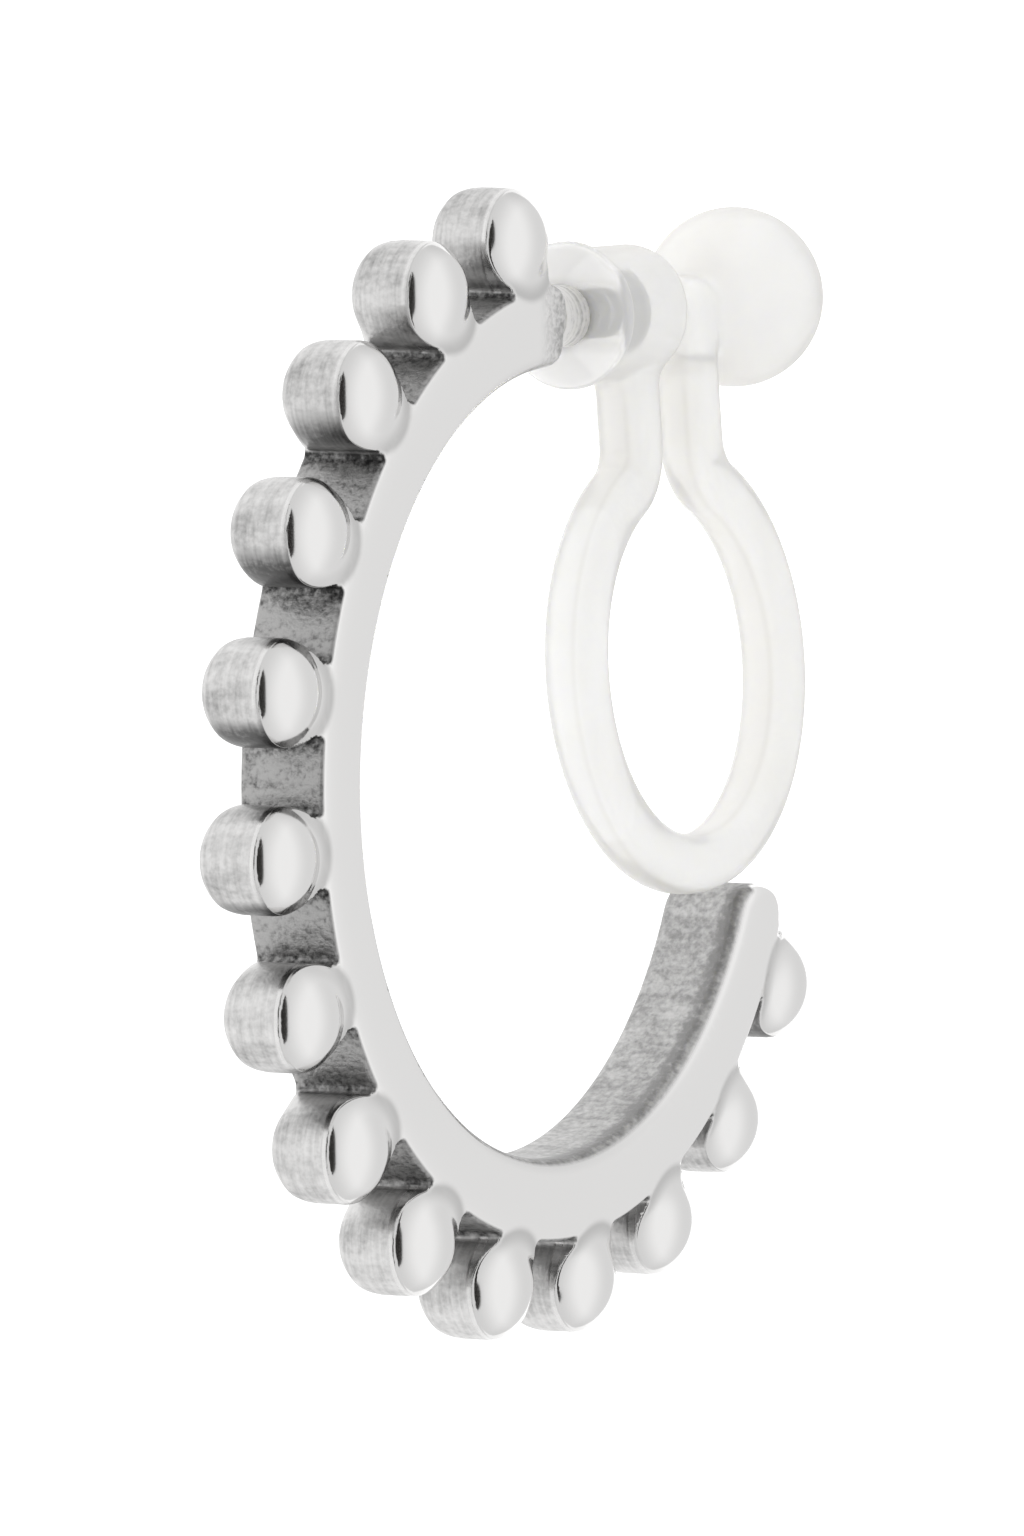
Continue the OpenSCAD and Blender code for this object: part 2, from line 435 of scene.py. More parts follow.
# %% A point, seen from its nearest bead
class HoopPlace:
    """A point in the hoop's own frame, measured from the hoop's centre and from its nearest bead."""

    def __init__(self, position):
        self.x, self.y, self.z = split(position)
        self.radius = span(self.x, self.y)
        self.turn = maths("ARCTAN2", self.y, self.x)
        middle_turn = math.radians(BEADS["first"] + (BEADS["count"] - 1) * BEADS["step"] / 2)
        step = math.radians(BEADS["step"])
        last = (BEADS["count"] - 1) / 2
        around = maths("WRAP", self.turn - middle_turn, math.pi, -math.pi) / step
        number = maths("FLOOR", around + last + 0.5) - last
        off_turn = (around - least(most(number, -last), last)) * step
        self.beside = self.radius * maths("SINE", off_turn)
        self.out = self.radius * maths("COSINE", off_turn)
        self.off_bead = span(self.beside, self.out - bead_circle_r)


# %% The band, seen from the front
def band_outline(place):
    """Distance from the open band's outline: a ring with one round end, cut off at the other."""
    top = math.radians(BAND["top_angle"])
    start, end = top - math.radians(BAND["top_extra"]), math.radians(BAND["low_angle"])
    half = (end - start) / 2
    off_middle = abs(maths("WRAP", place.turn - (start + end) / 2, math.pi, -math.pi))
    tip_x, tip_y = band_mid_r * math.cos(half), band_mid_r * math.sin(half)
    to_tip = span(place.radius * maths("COSINE", off_middle) - tip_x,
                  place.radius * maths("SINE", off_middle) - tip_y)
    to_line = choose(off_middle < half, abs(place.radius - band_mid_r), to_tip)
    past_cut = place.x * math.sin(top) - place.y * math.cos(top) - BAND["top_reach"]
    past_end = least(past_cut, place.y)
    return rounded_meet(to_line - BAND["thick"] / 2, past_end, BAND["top_corner_r"])


# %% The necks
# A fillet's centre is its radius off both the band and the bead
fillet_out = (bead_circle_r**2 + (band_outer_r + BEADS["fillet_r"])**2
              - (BEADS["r"] + BEADS["fillet_r"])**2) / (2 * bead_circle_r)
fillet_across = math.sqrt((band_outer_r + BEADS["fillet_r"])**2 - fillet_out**2)
print("necks are", round(2 * (fillet_across - BEADS["fillet_r"]), 2), "mm wide")


def hoop_outline(place):
    """Distance from the whole outline. The triangle hoop, fillet, bead holds the neck."""
    across = abs(place.beside)
    from_fillet_x, from_fillet_y = across - fillet_across, place.out - fillet_out
    bead_off = BEADS["r"] + BEADS["fillet_r"]
    past_line = (from_fillet_x * ((bead_circle_r - fillet_out) / bead_off)
                 + from_fillet_y * (fillet_across / bead_off))
    past_side = across * fillet_out - place.out * fillet_across
    in_neck = most(most(past_line, past_side), band_mid_r - place.radius) < 0.0
    neck = BEADS["fillet_r"] - span(from_fillet_x, from_fillet_y)
    apart = least(band_outline(place), place.off_bead - BEADS["r"])
    return choose(in_neck, neck, apart)


# %% The height over the outline
RAMP_SLOPE = math.radians(36)
RAMP_EDGE_R = 0.12
DOME_MELT = 0.5


def hoop_cover(place):
    """Distance over the band's flat face, which ramps down to the necks and melts into the domes."""
    height = abs(place.z)
    dome_r = (BEADS["r"]**2 + BEADS["dome"]**2) / (2 * BEADS["dome"])
    dome = span(place.off_bead, height - (bead_half - dome_r)) - dome_r
    off_crown = least(abs(place.radius - band_mid_r), BAND["thick"] / 2) / (BAND["thick"] / 2)
    crown = BAND["crown"] * off_crown * off_crown * off_crown
    over_face = height - BAND["wide"] / 2
    ramp = over_face * math.cos(RAMP_SLOPE) + (place.radius - band_outer_r) * math.sin(RAMP_SLOPE)
    return melted(rounded_meet(over_face + crown, ramp, RAMP_EDGE_R), dome, DOME_MELT)


# %% The edge between the outline and the height
BACK_RIM_DEPTH = 0.3
OUTER_EDGE_REACH = 0.25
MID_BAND_HALF = 0.4


def hoop_edge(place):
    """Radius of the edge, which is sharpest on the front rims of the beads."""
    rim = choose(eased(-place.z, 0.0, BACK_RIM_DEPTH), BEADS["back_rim_r"], BEADS["rim_r"])
    at_bead = eased(place.radius, band_outer_r, band_outer_r + OUTER_EDGE_REACH)
    outer_edge = choose(at_bead, rim, BAND["outer_edge_r"])
    outwards = eased(place.radius, band_mid_r - MID_BAND_HALF, band_mid_r + MID_BAND_HALF)
    return choose(outwards, outer_edge, BAND["inner_edge_r"])


# %% The peg
def peg_form(x, y, z):
    """Distance from the turned peg, whose axis lies along X."""
    off_axis = span(y - peg_y, z)
    root = rounded_meet(off_axis - PEG["root_r"], x - PEG["root_end"], PEG["root_edge_r"])
    root = most(root, PEG["start"] - x)
    stem = most(off_axis - PEG["stem_r"], abs(x - PEG["root_end"]) - PEG["stem_half"])
    groove_middle = PEG["groove_first"] + PEG["groove_step"] / 2
    off_groove = abs(abs(x - groove_middle) - PEG["groove_step"] / 2)
    dip = 1 - eased(off_groove, 0.0, PEG["groove_half"])
    head_middle = (PEG["head_start"] + PEG["end"]) / 2
    past_head = abs(x - head_middle) - (PEG["end"] - PEG["head_start"]) / 2
    head = rounded_meet(off_axis - PEG["head_r"] + dip * PEG["groove"], past_head, PEG["head_edge_r"])
    return least(least(root, stem), head)


# %% The whole hoop
SOLDER_MELT = 0.16


def hoop_form(position):
    """Distance from the hoop's surface."""
    place = HoopPlace(position)
    cast = rounded_meet(hoop_cover(place), hoop_outline(place), hoop_edge(place))
    return melted(cast, peg_form(place.x, place.y, place.z), SOLDER_MELT)


# %% [markdown]
# ## The clip as a formula
#
# The clip is one moulding too. Its wire could be a curve with a round bevel, but the melts
# where the legs run into the collar and the ball would then be missing, so it is a distance as
# well. The wire is a line in a plane, made of a loop, two bends and two legs, and the plane
# leans a little towards the front. The collar, the pad and the ball are turned about the peg's
# axis, and the peg's socket is taken out of them.


# %% The clip's wire
WIRE_SQUARENESS = 2.4


def wire_form(x, y, z):
    """Distance from the loop and its two legs."""
    lean = math.radians(CLIP["lean"])
    drop_y, drop_z = y - peg_y, z
    along = drop_y * math.cos(lean) - drop_z * math.sin(lean) + CLIP["loop_drop"]
    off_plane = abs(drop_y * math.sin(lean) + drop_z * math.cos(lean))
    beside = abs(x - CLIP["loop_at"])
    bend_x = CLIP["leg_half"] + CLIP["bend_r"]
    bend_y = math.sqrt((CLIP["loop_r"] + CLIP["bend_r"])**2 - bend_x**2)
    leg = span(beside - CLIP["leg_half"], most(along - CLIP["loop_drop"], 0.0))
    bend = abs(span(beside - bend_x, along - bend_y) - CLIP["bend_r"])
    loop = abs(span(beside, along) - CLIP["loop_r"])
    above_bend = along > bend_y
    above_loop = along * bend_x - beside * bend_y > 0.0
    in_plane = choose(above_bend, leg, choose(above_loop, bend, loop))
    thick = (in_plane ** WIRE_SQUARENESS + off_plane ** WIRE_SQUARENESS) ** (1 / WIRE_SQUARENESS)
    return thick - CLIP["wire_r"]


# %% The whole clip
MOULD_MELT = 0.5


def clip_form(position):
    """Distance from the clip's surface."""
    x, y, z = split(position)
    off_axis = span(y - peg_y, z)
    past_pad = abs(x - (CLIP["pad_start"] + CLIP["pad_thick"] / 2)) - CLIP["pad_thick"] / 2
    pad = rounded_meet(past_pad, off_axis - CLIP["pad_r"], CLIP["pad_edge_r"])
    collar = rounded_meet(off_axis - CLIP["collar_r"], x - CLIP["collar_end"], CLIP["collar_edge_r"])
    collar = most(collar, CLIP["pad_start"] + CLIP["collar_inset"] - x)
    ball = span(span(y - peg_y - CLIP["ball_rise"], z), x - CLIP["ball_at"]) - CLIP["ball_r"]
    turned_forms = least(least(pad, collar), ball)
    body = melted(turned_forms, wire_form(x, y, z), MOULD_MELT)
    return most(body, CLIP["socket_gap"] - peg_form(x, y, z))


# %% [markdown]
# ## From formula to metal
#
# Geometry Nodes fill a block of small cubes with the formula, put a skin where it is zero, and
# then slide every corner of that skin onto the exact surface. The slope of the formula gives
# each corner its true facing, so that reflections run smoothly over the edges. Finer cubes
# alone would need millions of faces for the same smooth reflections.


# %% A form as a node group
def form_group(name, form):
    """Group with a place as its input and the distance there as its output."""
    group = bpy.data.node_groups.new(name, "GeometryNodeTree")
    group.interface.new_socket("Position", in_out="INPUT", socket_type="NodeSocketVector")
    group.interface.new_socket("Distance", in_out="OUTPUT", socket_type="NodeSocketFloat")
    board = Board(group)
    place_in = board.add("NodeGroupInput")
    board.add("NodeGroupOutput", None, {"Distance": form(place_in)})
    return group


# %% The slope of a form
PROBE = 0.004
NEVER_FLAT = 1e-6
LONGEST_SLIDE = 0.03


def slope_and_slide(position, distance):
    """Which way the distance grows, and the move that brings a corner to where it is zero."""
    here = distance(position)
    slopes = []
    for axis in range(3):
        shift = [0.0, 0.0, 0.0]
        shift[axis] = PROBE
        ahead = distance(vector_maths("ADD", position, shift))
        behind = distance(vector_maths("SUBTRACT", position, shift))
        slopes.append((ahead - behind) / (2 * PROBE))
    slope = join(*slopes)
    steep = slopes[0] * slopes[0] + slopes[1] * slopes[1] + slopes[2] * slopes[2] + NEVER_FLAT
    step = -least(most(here / steep, -LONGEST_SLIDE), LONGEST_SLIDE)
    slide = position.board.add("ShaderNodeVectorMath", {"operation": "SCALE"},
                               {"Vector": slope, "Scale": step})
    return slope, slide


# %% A form as a mesh
SLIDES = 4
TREE_INPUTS = {"Low corner": "Vector", "High corner": "Vector", "Cubes X": "Int", "Cubes Y": "Int",
               "Cubes Z": "Int", "Flatness": "Float", "Material": "Material"}


def skin_tree(name, form):
    """Tree that turns a form into a mesh, in millimetres."""
    group = form_group(name + "_form", form)
    tree = bpy.data.node_groups.new(name, "GeometryNodeTree")
    tree.is_modifier = True
    tree.interface.new_socket("Geometry", in_out="INPUT", socket_type="NodeSocketGeometry")
    for label, kind in TREE_INPUTS.items():
        tree.interface.new_socket(label, in_out="INPUT", socket_type="NodeSocket" + kind)
    tree.interface.new_socket("Geometry", in_out="OUTPUT", socket_type="NodeSocketGeometry")
    board = Board(tree)
    inputs = board.add("NodeGroupInput").socket.node.outputs
    given = {label: Wire(board, inputs[label]) for label in TREE_INPUTS}

    def distance(where):
        return board.add("GeometryNodeGroup", {"node_tree": group}, {"Position": where})

    position = board.add("GeometryNodeInputPosition")
    block = board.add("GeometryNodeVolumeCube", None, {
        "Density": -distance(position), "Background": -1.0, "Min": given["Low corner"],
        "Max": given["High corner"], "Resolution X": given["Cubes X"],
        "Resolution Y": given["Cubes Y"], "Resolution Z": given["Cubes Z"]})
    skin = board.add("GeometryNodeVolumeToMesh", None, {
        "Volume": block, "Threshold": 0.0, "Adaptivity": given["Flatness"]})
    slope, slide = slope_and_slide(position, distance)
    for _ in range(SLIDES):
        skin = board.add("GeometryNodeSetPosition", None, {"Geometry": skin, "Offset": slide})
    skin = board.add("GeometryNodeStoreNamedAttribute", {"data_type": "FLOAT_VECTOR", "domain": "POINT"},
                     {"Geometry": skin, "Name": "facing", "Value": vector_maths("NORMALIZE", slope)})
    skin = board.add("GeometryNodeSetShadeSmooth", None, {"Geometry": skin})
    skin = board.add("GeometryNodeRealizeInstances", None, {"Geometry": skin})
    skin = board.add("GeometryNodeSetMaterial", None, {"Geometry": skin, "Material": given["Material"]})
    board.add("NodeGroupOutput", None, {"Geometry": skin})
    return tree


# %% A piece from its tree
def tree_result(name, tree, values):
    """Evaluates a tree on an empty mesh, with a value for each named input."""
    holder = bpy.data.objects.new(name + "_holder", bpy.data.meshes.new(name + "_holder"))
    bpy.context.scene.collection.objects.link(holder)
    modifier = holder.modifiers.new("skin", "NODES")
    modifier.node_group = tree
    for item in tree.interface.items_tree:
        if item.item_type == "SOCKET" and item.in_out == "INPUT" and item.name in values:
            modifier[item.identifier] = values[item.name]
    seen = holder.evaluated_get(bpy.context.evaluated_depsgraph_get())
    mesh = bpy.data.meshes.new_from_object(seen)
    bpy.data.objects.remove(holder)
    mesh.name = name
    return mesh


def make_piece(name, tree, low, high, cube, flatness, material):
    """A form as a plain mesh on the table, with its true facings."""
    counts = [math.ceil((b - a) / cube) for a, b in zip(low, high)]
    mesh = tree_result(name, tree, {
        "Low corner": low, "High corner": high, "Cubes X": counts[0], "Cubes Y": counts[1],
        "Cubes Z": counts[2], "Flatness": flatness, "Material": material})
    facing = np.zeros(len(mesh.vertices) * 3, np.float32)
    mesh.attributes["facing"].data.foreach_get("vector", facing)
    mesh.attributes.remove(mesh.attributes["facing"])
    mesh.normals_split_custom_set_from_vertices(facing.reshape(-1, 3))
    mesh.transform(hoop_to_row)
    piece = bpy.data.objects.new(name, mesh)
    bpy.context.scene.collection.objects.link(piece)
    triangles = sum(len(p.vertices) - 2 for p in mesh.polygons)
    print(name, "has", len(mesh.vertices), "corners and", triangles, "triangles")
    return piece


# %% [markdown]
# ## Steel
#
# One casting, several finishes. The front and the domes are polished, the bead sides are satin
# with painted shade on their undersides, the inside of the band is brushed across, with a painted
# dark line of shade along its front edge, and the outside between the beads keeps a dark brushed
# skin, because no wheel reaches it, with painted shade where it meets the beads and below them.
# More shade is painted round the foot of each dome and along the band's inner edge. The peg is
# turned, with painted highlights on its grooves, and a rough patch of solder holds it to the band.
#
# Painted pictures could show all this, but they would have to be drawn fourteen times. Here each
# finish has a mask from the same folded frame as the shape, so one formula does every bead.


# %% The hoop's own frame in a material
def hoop_frame(board):
    """The place in millimetres, and how far a face looks along the hoop's axis."""
    back = hoop_to_row.inverted()
    turn_back = settle.to_3x3().inverted().to_euler()
    own = board.add("ShaderNodeMapping", {"vector_type": "POINT"}, {
        "Vector": board.add("ShaderNodeTexCoord", out="Object"), "Location": back.translation,
        "Rotation": turn_back, "Scale": (1 / MM,) * 3})
    return own, looks_along(board, hoop_axis)


def looks_along(board, axis):
    """How far a face looks along an axis, from -1 to 1."""
    return vector_maths("DOT_PRODUCT", board.add("ShaderNodeTexCoord", out="Normal"), axis, out="Value")


def noise(vector, scale, detail=2.0, roughness=0.5):
    """Soft noise around 0.5."""
    return vector.board.add("ShaderNodeTexNoise", None, {
        "Vector": vector, "Scale": scale, "Detail": detail, "Roughness": roughness})


# %% Where the finishes are
# Each pair is where an area begins and where it is full, in millimetres
BEAD_PAIRS = {"on": (0.01, 0.1), "near": (0.0, 0.2), "rim": (-0.35, 0.0), "open": (0.02, 0.5)}
REACH = {"peg start": (0.4, 0.46), "peg side": (0.68, 0.72), "peg head": (1.9, 2.1),
         "rim strip": (0.38, 0.44), "front line": (0.4, 0.62), "front line end": (0.7, 0.85),
         "solder": (-1.2, -0.2)}
INNER_PAIRS = {"inside": (0.1, 0.4), "inner edge": (0.3, 0.4), "inner edge shade": (0.1, 0.35)}
REACH |= {"bead " + name: (BEADS["r"] + a, BEADS["r"] + b) for name, (a, b) in BEAD_PAIRS.items()}
REACH |= {name: (BAND["inner_r"] + a, BAND["inner_r"] + b) for name, (a, b) in INNER_PAIRS.items()}
REACH["outer edge"] = (band_outer_r - 0.1, band_outer_r - 0.05)
# How far a face has to look along the hoop's axis
FACING = {"front": (0.14, 0.4), "back": (0.75, 0.95), "outer edge": (0.7, 0.95),
          "inner edge": (0.6, 0.85), "dull shaded rim": (0.4, 0.47)}
# How low on its bead a place is when the earring hangs, in millimetres: the painted shade under the
# beads goes by this
BELOW = {"dull shaded rim": (0.2, 0.7), "strip end": (0.5, 0.9), "shade": (-0.3, 0.8),
         "underside_shade": (0.6, 1.05)}
print("steel has", len(REACH) + len(FACING) + len(BELOW), "limits between its finishes")

# %% Textures of the metal
# Each set of marks is stretched along three directions, and then has a fineness
MARKS = {"brush": ((3, 2, 0.5), 1.4), "bead": ((1.6, 0.35, 0.1), 1.2),
         "turning": ((0.4, 5, 0.1), 2.0), "peg": ((5, 0, 0.1), 1.5)}
CLOUD_SCALE = 1.1
SPECKLE_SCALE = 8.0


def marks(kind, *directions):
    """Marks of a tool, long in one direction and fine in another."""
    stretch, scale = MARKS[kind]
    return noise(join(*[d * s for d, s in zip(directions, stretch)]), scale, detail=3.0)


class SteelPlace(HoopPlace):
    """A place on the hoop's surface, with the textures and the two main masks there."""

    def __init__(self, board):
        own, self.along = hoop_frame(board)
        super().__init__(own)
        around_bead = maths("ARCTAN2", self.out - bead_circle_r, self.beside)
        self.below = -self.beside * maths("COSINE", self.turn)
        off_peg_axis = span(self.y - peg_y, self.z)
        self.on_bead = 1 - eased(self.off_bead, *REACH["bead on"])
        self.on_peg = eased(self.x, *REACH["peg start"]) * (1 - eased(off_peg_axis, *REACH["peg side"]))
        self.texture = {
            "brush": marks("brush", self.turn * band_mid_r, self.radius, self.z),
            "bead": marks("bead", around_bead, self.z, self.out),
            "turning": marks("turning", around_bead, self.z, self.out),
            "peg": marks("peg", self.x, 0.0, around_bead),
            "cloud": noise(own, CLOUD_SCALE, detail=3.0),
            "speckle": noise(own, SPECKLE_SCALE, roughness=0.6)}


# %% Where the metal is polished
STRIP_SHARE = 0.6
STRIP_END = 0.6
STRIP_FACING = -0.1


def polish(place):
    """How polished the metal is: 1 on the front and the domes, and 0 where no wheel reaches."""
    front, back = eased(place.along, *FACING["front"]), eased(-place.along, *FACING["back"])
    polished = choose(place.along > 0.0, front, back) * (1 - place.on_peg)
    outer_edge = eased(place.radius, *REACH["outer edge"]) * (1 - place.on_bead)
    inner_edge = 1 - eased(place.radius, *REACH["inner edge"])
    for name, edge in (("outer edge", outer_edge), ("inner edge", inner_edge)):
        polished = polished * (1 - edge * (1 - eased(place.along, *FACING[name])))

    # The wheel runs a little over the rim of a bead. On the lower side of each bead, as the earring
    # hangs, the strip stops and the rim is left dull and darker: a duller finish there, with painted
    # shade in its colour.
    strip = place.on_bead * eased(place.z, *REACH["rim strip"])
    strip = strip * (place.along > STRIP_FACING) * (place.z < STRIP_END)
    polished = most(polished, strip * STRIP_SHARE * (1 - eased(place.below, *BELOW["strip end"])))
    dull_shaded_rim = place.on_bead * eased(place.below, *BELOW["dull shaded rim"])
    return polished * (1 - dull_shaded_rim * (1 - eased(place.along, *FACING["dull shaded rim"])))


# %% The skins that no wheel reaches
# A skin runs from dark to pale as its lightness goes from low to high, and each texture has a share
SKINS = {
    "recess": {"dark": 0.03, "pale": 0.37, "low": -0.3, "high": 1.1,
               "shares": {"speckle": 2.2, "brush": 0.8, "cloud": 0.5}},
    "inside": {"dark": 0.24, "pale": 0.54, "low": -0.6, "high": 0.6,
               "shares": {"brush": 0.9, "cloud": 0.7, "speckle": 1.4}},
    "bead side": {"dark": 0.1, "pale": 0.62, "low": -0.1, "high": 0.8,
                  "shares": {"bead": 0.7, "speckle": 0.4, "turning": 0.4}},
    "peg root": {"dark": 0.55, "pale": 0.85, "low": -0.2, "high": 0.1,
                 "shares": {"peg": 1.0, "speckle": 0.4}},
    "peg head": {"dark": 0.12, "pale": 0.5, "low": 0.3, "high": 0.95, "shares": {}},
    "solder": {"dark": 0.38, "pale": 0.75, "low": -0.4, "high": 0.4,
               "shares": {"speckle": 1.6, "cloud": 1.0}}}
WARMTH = 0.985


def tone(value):
    """Steel grey of a lightness, a touch warm."""
    return (value, value * (1 + WARMTH) / 2, value * WARMTH, 1)


def skin(place, name, light):
    """Colour of a skin, by a lightness and its own textures."""
    kind = SKINS[name]
    for texture, share in kind["shares"].items():
        light = light + (place.texture[texture] - 0.5) * share
    return mix_colours(eased(light, kind["low"], kind["high"]), tone(kind["dark"]), tone(kind["pale"]))


print("skins:", ", ".join(SKINS))

# %% Lightness of each skin
# The recess skin is lighter in its open middle, and painted shade darkens it near the beads and below
# them
RECESS_LIGHT = 0.34
RECESS_OPEN = 0.5
RECESS_SHADE = 0.5
FRONT_LINE_SHADE = 0.5
SIDE_LIGHT = 0.5
# How dark and how mottled the painted shade on the undersides of the beads is
UNDERSIDE_SHADE = 0.75
UNDERSIDE_SHADE_SPECKLE = 1.5


def recess_skin(place):
    """Between the beads the skin has painted shade: it is darkest where it meets them, below all."""
    open_part = eased(place.off_bead, *REACH["bead open"])
    shade = eased(place.below, *BELOW["shade"]) * (1 - open_part)
    return skin(place, "recess", RECESS_LIGHT + open_part * RECESS_OPEN - shade * RECESS_SHADE)


def inside_skin(place):
    """The inside of the band, with painted shade as a dark line along its front edge."""
    line = eased(place.z, *REACH["front line"]) * (1 - eased(place.z, *REACH["front line end"]))
    return skin(place, "inside", line * -FRONT_LINE_SHADE)


def side_skin(place):
    """The side of a bead, with painted shade on its underside, darker and mottled there."""
    shade_mottle = (place.texture["speckle"] - 0.5) * UNDERSIDE_SHADE_SPECKLE
    underside_shade = eased(place.below, *BELOW["underside_shade"]) * (UNDERSIDE_SHADE + shade_mottle)
    return skin(place, "bead side", SIDE_LIGHT - underside_shade)


def peg_skin(place):
    """Turning marks on the root, and on the head two painted highlights for each groove, as pale rings.
    """
    groove_highlights = maths("COSINE", (place.x - PEG["groove_first"]) * (4 * math.pi / PEG["groove_step"]))
    root, head = skin(place, "peg root", 0.0), skin(place, "peg head", groove_highlights)
    return mix_colours(eased(place.x, *REACH["peg head"]), root, head)


def rough_skin(place):
    """All the skins, each in its own area."""
    inside = 1 - eased(place.radius, *REACH["inside"])
    band = mix_colours(inside, recess_skin(place), inside_skin(place))
    cast = mix_colours(place.on_bead, band, side_skin(place))
    return mix_colours(place.on_peg, cast, peg_skin(place))


# %% The polished colour
# Polished tones, with darker ones for the painted shade at the foot of each dome and on the inner edge
SHINE = {"dome": 0.83, "dome foot shade": 0.62, "face": 0.9, "inner edge": 0.8}


def shine(place):
    """Painted shade: a little darker round the foot of each dome and along the inner edge."""
    near_bead = 1 - eased(place.off_bead, *REACH["bead near"])
    crease_shade = eased(place.off_bead, *REACH["bead rim"]) * near_bead
    inner_edge = 1 - eased(place.radius, *REACH["inner edge shade"])
    dome = mix_colours(crease_shade, tone(SHINE["dome"]), tone(SHINE["dome foot shade"]))
    face = mix_colours(inner_edge, tone(SHINE["face"]), tone(SHINE["inner edge"]))
    return mix_colours(near_bead, face, dome)


# %% Steel
SOLDER_END = 0.46
ROUGHNESS = {"polished": 0.12, "bead side": 0.32, "brushed": 0.42, "speckle": 0.1}
GRAIN_SPECKLE = 0.3
GRAIN_STRENGTH = 0.5
GRAIN_HEIGHT = 0.04 * MM


def steel():
    """The hoop's metal."""
    material, board = new_material("steel")
    place = SteelPlace(board)
    speckle = place.texture["speckle"]
    solder = (eased(place.x, *REACH["solder"]) * (place.x < SOLDER_END) * (place.y > 0.0)
              * (1 - place.on_peg) * (1 - place.on_bead))
    polished = polish(place)
    metal = mix_colours(polished, rough_skin(place), shine(place))
    colour = mix_colours(solder, metal, skin(place, "solder", 0.0))
    polished = polished * (1 - solder)
    satin = choose(place.on_bead, ROUGHNESS["bead side"], ROUGHNESS["brushed"])
    roughness = choose(polished, ROUGHNESS["polished"], satin + ROUGHNESS["speckle"] * speckle)
    bead_grain = place.texture["bead"] + GRAIN_SPECKLE * speckle
    grain = choose(place.on_bead, bead_grain, place.texture["brush"] + speckle) * (1 - polished)
    bump = board.add("ShaderNodeBump", None, {
        "Height": grain, "Strength": GRAIN_STRENGTH, "Distance": GRAIN_HEIGHT})
    shader = board.add("ShaderNodeBsdfPrincipled", None, {
        "Base Color": colour, "Roughness": roughness, "Metallic": 1.0, "Normal": bump})
    board.add("ShaderNodeOutputMaterial", None, {"Surface": shader})
    return material


steel_finish = steel()
print("steel has", len(steel_finish.node_tree.nodes), "nodes")

# %% [markdown]
# ## Resin
#
# The clip's resin is clear with milk in it: some light passes, and most of it scatters on the
# way and comes out again as a soft white. Plain glass would be dark and sharp at its edges, and
# a plain white plastic would hide the peg. So one shader both lets light through and scatters
# it, and it bends light only a little, so that the peg shows through without going dark.
#
# Looked at along its surface the resin is thicker, so a second, greyer shader is mixed in there.
# It draws the soft grey outlines. The wall of the socket is left clear, because the real resin
# grips the peg without a gap to be seen.


# %% Where the resin is milky, and where light and shade are painted on it
GREY_RESIN = (0.83, 0.82, 0.80, 1)
PALE_RESIN = (0.96, 0.955, 0.945, 1)
# Shares of the tint: all over and the haze are the resin's own, the front and the pad get painted light,
# and the line on the wire gets painted shade
MILK_AND_LIGHT = {"all over": 0.3, "front light": 0.5, "wire shade line": 0.35, "haze": 0.5, "pad": 0.5}
HAZE_SCALE = 0.7
WIRE_BELOW_PEG = (1.3, 1.9)
PAD_END = (CLIP["pad_start"] + CLIP["pad_thick"], CLIP["pad_start"] + 0.5)
FRONT_LIGHT_FACING = (0.2, 0.6)
SHADE_LINE_FACING = 0.3
SHADE_LINE_HALF = 0.16


def milky_tint(own, along, on_wire, on_pad):
    """Painted light and shade: paler on the pad and towards the front, and greyer along a line on the
    wire.
    """
    wire_shade_line = (1 - eased(abs(along - SHADE_LINE_FACING), 0.0, SHADE_LINE_HALF)) * on_wire
    haze = noise(own, HAZE_SCALE, detail=3.0) - 0.5
    milk_and_light = (MILK_AND_LIGHT["all over"] + MILK_AND_LIGHT["front light"] * eased(along, *FRONT_LIGHT_FACING)
            - MILK_AND_LIGHT["wire shade line"] * wire_shade_line + MILK_AND_LIGHT["haze"] * haze + MILK_AND_LIGHT["pad"] * on_pad)
    return mix_colours(milk_and_light, GREY_RESIN, PALE_RESIN)


# %% Resin
RIPPLE_SCALE = 2.2
RIPPLE_STRENGTH = 0.15
RIPPLE_HEIGHT = 0.06 * MM
SOCKET_ROOM_R = 0.06
SOCKET_ROOM_END = 0.1
SCATTER_REACH = (0.4 * MM, 0.4 * MM, 0.35 * MM)
GLANCING = (0.4, 1.0)
GLANCING_SHARE = 0.85
GLANCING_WIRE_LESS = 0.4
PAD_OFF_PEG = (0.4, 0.8)
PAD_FACING = (0.5, 0.9)
PAD_SHARE = 0.6
GREY_MILK = (0.70, 0.69, 0.67, 1)
PAD_LIGHT_WHITE = (0.97, 0.965, 0.955, 1)


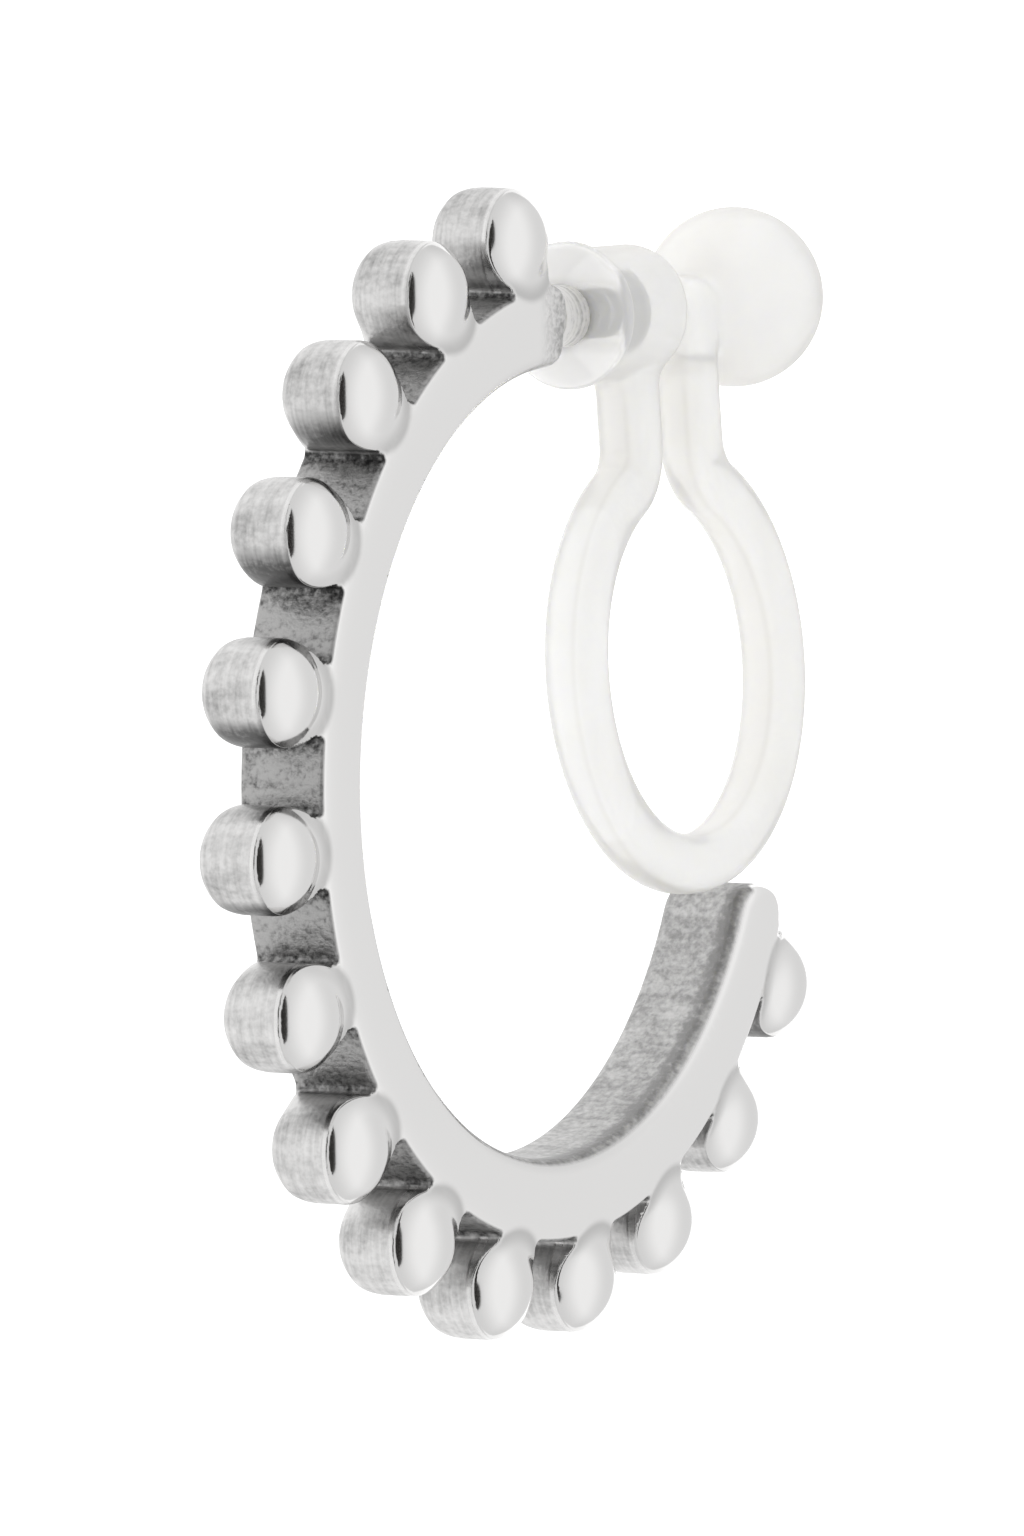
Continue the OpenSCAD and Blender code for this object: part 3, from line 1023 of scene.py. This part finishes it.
def resin():
    """The clip's resin."""
    material, board = new_material("resin")
    own, along = hoop_frame(board)
    x, y, z = split(own)
    on_wire = eased(peg_y - y, *WIRE_BELOW_PEG)
    on_pad = 1 - eased(x, *PAD_END)
    in_socket = ((span(y - peg_y, z) < PEG["head_r"] + SOCKET_ROOM_R)
                 * (x < PEG["end"] + SOCKET_ROOM_END))
    bump = board.add("ShaderNodeBump", None, {
        "Height": noise(own, RIPPLE_SCALE), "Strength": RIPPLE_STRENGTH, "Distance": RIPPLE_HEIGHT})
    clear = board.add("ShaderNodeBsdfPrincipled", None, {
        "Base Color": milky_tint(own, along, on_wire, on_pad), "Roughness": 0.2, "IOR": 1.2,
        "Transmission Weight": 0.42, "Subsurface Weight": 1.0, "Subsurface Radius": SCATTER_REACH,
        "Subsurface Scale": 1.0, "Alpha": 1 - in_socket, "Normal": bump})

    # Painted light: the pad's face towards the hoop is whiter above and below the peg
    to_hoop = looks_along(board, settle.to_3x3() @ Vector((-1, 0, 0)))
    pad_face_light = (on_pad * (1 - on_wire) * eased(abs(y - peg_y), *PAD_OFF_PEG)
                * eased(to_hoop, *PAD_FACING))
    milky = board.add("ShaderNodeBsdfPrincipled", None, {
        "Base Color": mix_colours(pad_face_light, GREY_MILK, PAD_LIGHT_WHITE), "Roughness": 0.6,
        "Specular IOR Level": 0.0, "Normal": bump})
    glancing = eased(board.add("ShaderNodeLayerWeight", None, {"Blend": 0.5}, out="Facing"), *GLANCING)
    thick = most(glancing * (GLANCING_SHARE - GLANCING_WIRE_LESS * on_wire), pad_face_light * PAD_SHARE)
    shader = board.add("ShaderNodeMixShader", None, {0: thick * (1 - in_socket), 1: clear, 2: milky})
    board.add("ShaderNodeOutputMaterial", None, {"Surface": shader})
    return material


resin_finish = resin()
print("resin has", len(resin_finish.node_tree.nodes), "nodes")

# %% [markdown]
# ## The two pieces
#
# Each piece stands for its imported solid: the same place and size, with the soft transitions that
# a casting and a moulding have. The cubes are small enough for the bead rims, and the hoop's
# flat faces are allowed larger triangles.

# %% Hoop
HOOP_BOX = ((-11.8, -11.8, -1.3), (10.7, 11.8, 1.3))
HOOP_CUBE = 0.05
HOOP_FLATNESS = 0.01
hoop = make_piece("hoop_cast", skin_tree("hoop_skin", hoop_form), *HOOP_BOX,
                  HOOP_CUBE, HOOP_FLATNESS, steel_finish)
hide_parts("hoop")
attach(hoop, "root")

# %% Clip
CLIP_BOX = ((0.3, -3.2, -2.0), (10.4, 10.8, 2.0))
CLIP_CUBE = 0.06
CLIP_FLATNESS = 0.0
clip = make_piece("clip_moulding", skin_tree("clip_skin", clip_form), *CLIP_BOX,
                  CLIP_CUBE, CLIP_FLATNESS, resin_finish)
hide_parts("clip")
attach(clip, "root")

# %% [markdown]
# ## Compare the boxes
#
# The finished earring has to be as large as the imported model. How far each piece's box lies off its
# solid's box is printed.

# %% Write the sizes
for name, piece in (("hoop", hoop), ("clip", clip)):
    corners = [Vector(c) for c in piece.bound_box]
    low = [min(c[i] for c in corners) for i in range(3)]
    high = [max(c[i] for c in corners) for i in range(3)]
    cad_low, cad_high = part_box(name)
    print(name, "low", [round((a - b) * 1000, 3) for a, b in zip(low, cad_low)],
          "high", [round((a - b) * 1000, 3) for a, b in zip(high, cad_high)], "mm off the solid")
